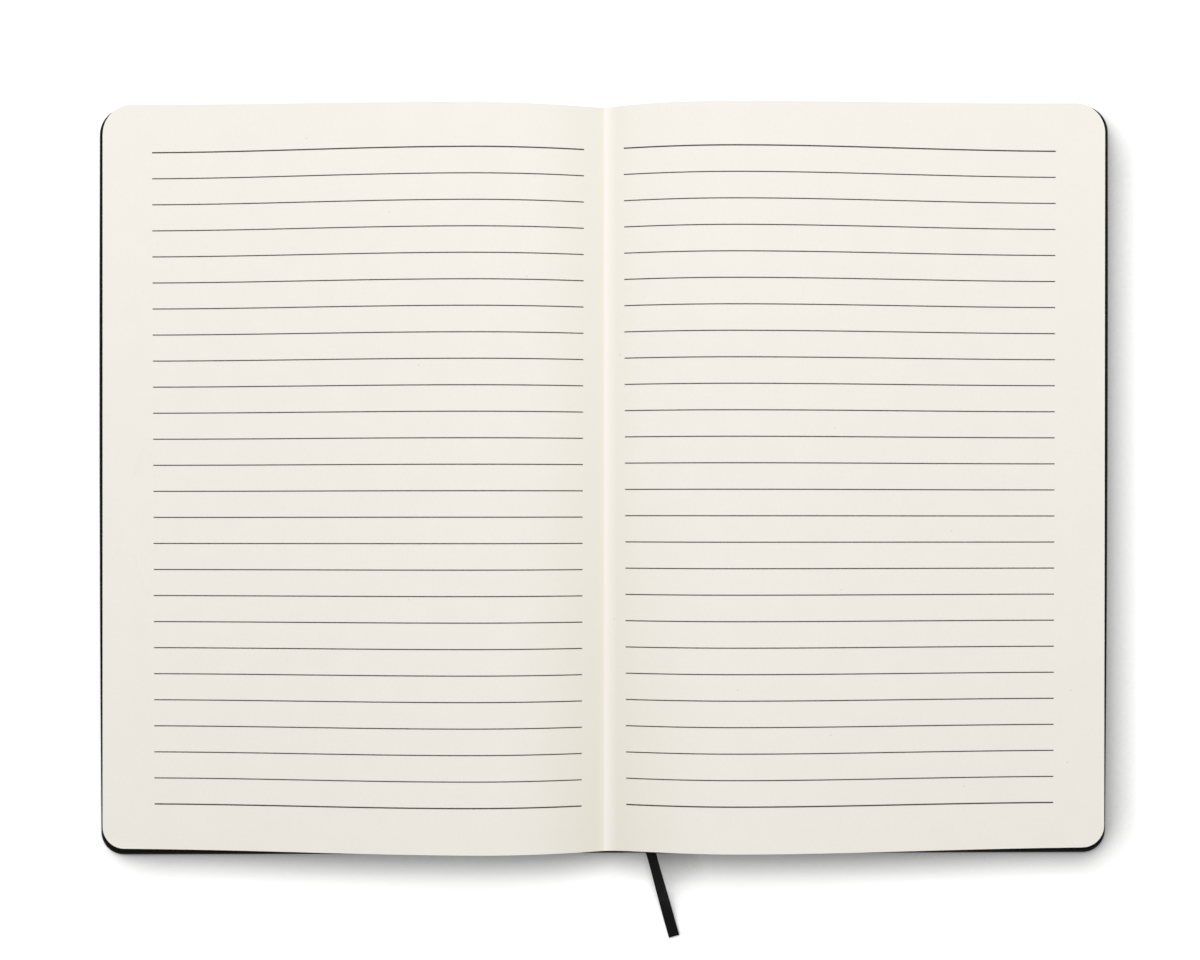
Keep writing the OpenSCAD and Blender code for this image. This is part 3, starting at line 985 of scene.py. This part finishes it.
class NOTEBOOK_OT_covering(Operator):
    """Wrap the boards and the spine in the black covering"""
    bl_idname = "notebook.covering"
    bl_label = "Covering"

    def execute(self, context):
        c = settings().notebook_cover
        material = imitation_leather("covering_leather", settings().notebook_finish.covering, REST_PLACE)
        for side, name in COVER_NAMES.items():
            bm = wrap_covering(c, INLAY_HIGH.x, c.reach)
            for v in bm.verts:
                v.co = cover_place(c, side, v.co)
                v.co.x *= side
            face_outwards(bm)
            keep_rest_place(bm)
            piece = add_piece(bm, name + "_covering", material)
            across_joint(piece)
            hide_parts(name + "_cover_skin")
        bm = wrap_covering(c, -INLAY_HIGH.x, INLAY_HIGH.x)
        for v in bm.verts:
            v.co.y -= c.spine_short * (0.5 + v.co.y / c.height)
        face_outwards(bm)
        keep_rest_place(bm)
        piece = add_piece(bm, "spine_covering", material)
        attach(piece, "book")
        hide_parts("spine_skin")
        return {"FINISHED"}


class NOTEBOOK_OT_boards(Operator):
    """Finish the boards and the card strip in the spine"""
    bl_idname = "notebook.boards"
    bl_label = "Boards and card"

    def execute(self, context):
        material = grey_board("grey_board", settings().notebook_finish.board)
        for node in ("front_board", "back_board", "spine_inlay"):
            finish_node(node, material)
        return {"FINISHED"}


class NOTEBOOK_OT_endpapers(Operator):
    """Lay the endpapers on the covers' insides and under the block"""
    bl_idname = "notebook.endpapers"
    bl_label = "Endpapers"

    def execute(self, context):
        p, c = settings().notebook_pages, settings().notebook_cover
        base = settings().notebook_finish.endpaper
        flyleaf = paper("flyleaf_paper", base)
        for name in COVER_NAMES.values():
            finish_node(name + "_flyleaf", flyleaf)
        material = paper("endpaper", base, REST_PLACE)
        hinge = p.block_half
        half_y, far = c.height / 2 - c.turn_in, c.reach - c.turn_in
        ease, board_fall, hinge_rise = 0.7 * MM, 2.2 * MM, 2.6 * MM
        for side, name in COVER_NAMES.items():
            bm = bmesh.new()
            rectangle(bm, hinge, p.low_reach, p.foot, p.head)
            round_leaf(bm, p, p.low_reach, segments=9)
            easing = [ease * i / 2 for i in range(-2, 3)]
            cut_along(bm, joint_cuts(hinge, 24) + [far + step for step in easing], "X")
            cut_along(bm, [end * (half_y + step) for end in (-1, 1) for step in easing], "Y")
            cut_along(bm, [y * MM for y in range(-60, 61, 30)], "Y")
            thicken(bm, c.endpaper)
            for v in bm.verts:
                inside = min(half_y - abs(v.co.y), far - v.co.x)
                dip = smooth((inside + ease) / (2 * ease))
                level = SKIN_HIGH.z - c.skin * dip
                low = 2 * c.skin + joint_lift(c, v.co.x)
                down = smooth((BOARD_LOW.x - v.co.x) / board_fall)
                rise = smooth((hinge + hinge_rise - v.co.x) / hinge_rise)
                level += (low - level) * down + (p.underside - 2 * c.endpaper - low) * rise
                v.co = (*page_place(p, side, v.co.x, v.co.y), level + c.endpaper / 2 + v.co.z)
            face_outwards(bm)
            keep_rest_place(bm)
            piece = add_piece(bm, name + "_endpaper", material)
            across_joint(piece)
            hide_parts(name + "_pastedown")
        return {"FINISHED"}


class NOTEBOOK_OT_lining(Operator):
    """Finish the cloth on the back of the block"""
    bl_idname = "notebook.lining"
    bl_label = "Lining"

    def execute(self, context):
        finish_node("spine_lining", cotton_cloth("lining_cloth", settings().notebook_finish.lining))
        return {"FINISHED"}


def add_lamp(name, place, size, power, tone=(1, 1, 1)):
    """A square area lamp turned to the book's middle."""
    data = bpy.data.lights.new(name, "AREA")
    data.shape = "SQUARE"
    data.size = size
    data.energy = power
    data.color = tone
    lamp = bpy.data.objects.new(name, data)
    lamp.location = place
    lamp.rotation_mode = "QUATERNION"
    lamp.rotation_quaternion = (-Vector(place)).to_track_quat("-Z", "Y")
    settings().collection.objects.link(lamp)


class NOTEBOOK_OT_stage(Operator):
    """Lay the white floor and set the soft light"""
    bl_idname = "notebook.stage"
    bl_label = "Stage"

    def execute(self, context):
        s, finish = settings().notebook_stage, settings().notebook_finish
        bm = bmesh.new()
        rectangle(bm, -s.floor_reach, s.floor_reach, -s.floor_reach, s.floor_reach)
        mesh = as_mesh(bm, "floor")
        mesh.materials.append(white_floor("white_floor", finish.floor, s))
        floor = bpy.data.objects.new("floor", mesh)
        settings().collection.objects.link(floor)

        add_lamp("key_lamp", s.key_place, size=0.8, power=s.key, tone=(1.0, 0.987, 0.965))
        add_lamp("fill_lamp", s.fill_place, size=0.5, power=s.fill)

        world = bpy.data.worlds.new("studio")
        settings().world = world
        world.use_nodes = True
        nodes, links = world.node_tree.nodes, world.node_tree.links
        background = nodes["Background"]
        background.inputs["Color"].default_value = (1, 1, 1, 1)
        seen = nodes.new("ShaderNodeLightPath")
        pick = nodes.new("ShaderNodeMapRange")
        pick.inputs["To Min"].default_value = s.sky
        pick.inputs["To Max"].default_value = 1
        links.new(seen.outputs["Is Camera Ray"], pick.inputs["Value"])
        links.new(pick.outputs["Result"], background.inputs["Strength"])
        settings().view_settings.view_transform = "Standard"
        return {"FINISHED"}


class NOTEBOOK_PT_panel(Panel):
    """Lists the pieces of the open notebook"""
    bl_idname = "NOTEBOOK_PT_panel"
    bl_label = "Open ruled notebook"
    bl_space_type = "VIEW_3D"
    bl_region_type = "UI"
    bl_category = "Notebook"

    def draw(self, context):
        for operator in OPERATORS:
            self.layout.operator(operator.bl_idname)


GROUPS = {
    "notebook_pages": NotebookPages,
    "notebook_ruling": NotebookRuling,
    "notebook_cover": NotebookCover,
    "notebook_ribbon": NotebookRibbon,
    "notebook_finish": NotebookFinish,
    "notebook_stage": NotebookStage,
}
OPERATORS = (
    NOTEBOOK_OT_camera,
    NOTEBOOK_OT_ribbon,
    NOTEBOOK_OT_leaves,
    NOTEBOOK_OT_open_pages,
    NOTEBOOK_OT_ruling,
    NOTEBOOK_OT_covering,
    NOTEBOOK_OT_boards,
    NOTEBOOK_OT_endpapers,
    NOTEBOOK_OT_lining,
    NOTEBOOK_OT_stage,
)


def register():
    for name, group in GROUPS.items():
        bpy.utils.register_class(group)
        setattr(bpy.types.Scene, name, PointerProperty(type=group))
    for cls in (*OPERATORS, NOTEBOOK_PT_panel):
        bpy.utils.register_class(cls)


def unregister():
    for cls in (NOTEBOOK_PT_panel, *reversed(OPERATORS)):
        bpy.utils.unregister_class(cls)
    for name, group in GROUPS.items():
        delattr(bpy.types.Scene, name)
        bpy.utils.unregister_class(group)


def main():
    register()
    bpy.ops.notebook.camera()
    bpy.ops.notebook.ribbon()
    bpy.ops.notebook.leaves()
    bpy.ops.notebook.open_pages()
    bpy.ops.notebook.ruling()
    bpy.ops.notebook.covering()
    bpy.ops.notebook.boards()
    bpy.ops.notebook.endpapers()
    bpy.ops.notebook.lining()
    bpy.ops.notebook.stage()


if __name__ == "__main__":
    main()
